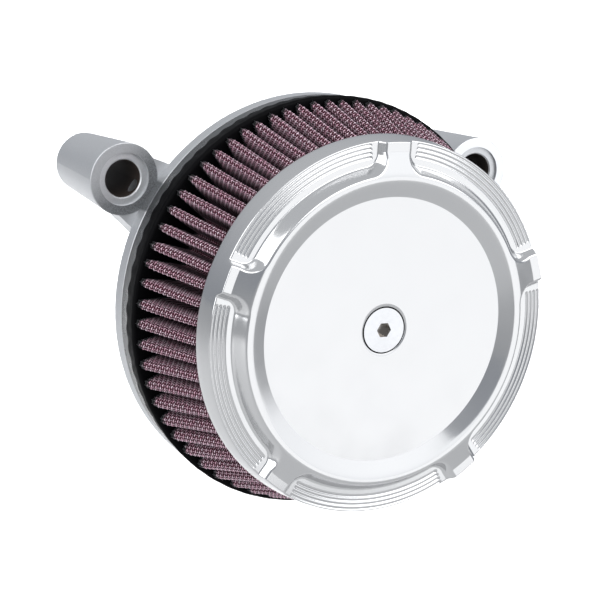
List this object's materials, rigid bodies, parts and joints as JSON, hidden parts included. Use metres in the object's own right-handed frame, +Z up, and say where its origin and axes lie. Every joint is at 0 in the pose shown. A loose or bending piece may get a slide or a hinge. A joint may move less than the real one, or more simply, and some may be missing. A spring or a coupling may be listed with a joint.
{
  "type": "motorcycle air filter",
  "caption": "Round motorcycle air cleaner with a domed chrome cover, a tapered pleated element and a cast backplate with two breather bosses.",
  "frame": {"origin": "centre of the intake bore on the backplate's rear mounting face", "axes": "-Y towards the cover's face, +Y towards the throttle body, +X to the right seen from the cover, +Z up, with the breather bosses above the middle"},
  "size_m": [0.195, 0.1131, 0.1704],
  "materials": {
    "cast_plate": "satin cast and machined",
    "cover_chrome": "satin-bright plated",
    "pleat_gauze": "oiled dark red cotton",
    "pleat_wire": "woven wire mesh",
    "cap_rubber": "glossy moulded black",
    "seal_rubber": "matt",
    "screw_steel": "bright plated",
    "bracket_steel": "zinc plated"
  },
  "bodies": {
    "backplate": {"backplate": "cast_plate", "intake_seal": "seal_rubber", "breather_seal_left": "seal_rubber", "breather_seal_right": "seal_rubber", "support_bracket": "bracket_steel", "thread_insert": "screw_steel", "post_1": "bracket_steel", "bracket_screw_1": "screw_steel", "bracket_washer_1": "screw_steel", "post_2": "bracket_steel", "bracket_screw_2": "screw_steel", "bracket_washer_2": "screw_steel", "post_3": "bracket_steel", "bracket_screw_3": "screw_steel", "bracket_washer_3": "screw_steel"},
    "filter": {"rear_end_cap": "cap_rubber", "front_end_cap": "cap_rubber", "pleated_media": "pleat_gauze", "outer_mesh": "pleat_wire", "inner_mesh": "pleat_wire"},
    "cover": {"cover": "cover_chrome"},
    "screw_seal": {"screw_seal": "seal_rubber"},
    "cover_screw": {"cover_screw": "screw_steel"}
  },
  "joints": [
    {"name": "cover_lift", "type": "slide", "parent": "backplate", "child": "cover", "axis": [0, -1, 0], "range_m": [0, 0.15]},
    {"name": "filter_lift", "type": "slide", "parent": "backplate", "child": "filter", "axis": [0, -1, 0], "range_m": [0, 0.0675]},
    {"name": "screw_out", "type": "slide", "parent": "cover", "child": "screw_seal", "axis": [0, -1, 0], "range_m": [0, 0.0127]},
    {"name": "screw_turn", "type": "hinge", "parent": "screw_seal", "child": "cover_screw", "pos_m": [0, -0.082, 0], "axis": [0, -1, 0], "range_deg": [0, 2880]}
  ],
  "couplings": [
    {"joint": "filter_lift", "follows": "cover_lift", "ratio": 0.45},
    {"joint": "screw_out", "follows": "screw_turn", "m_per_rad": 0.00025266}
  ]
}
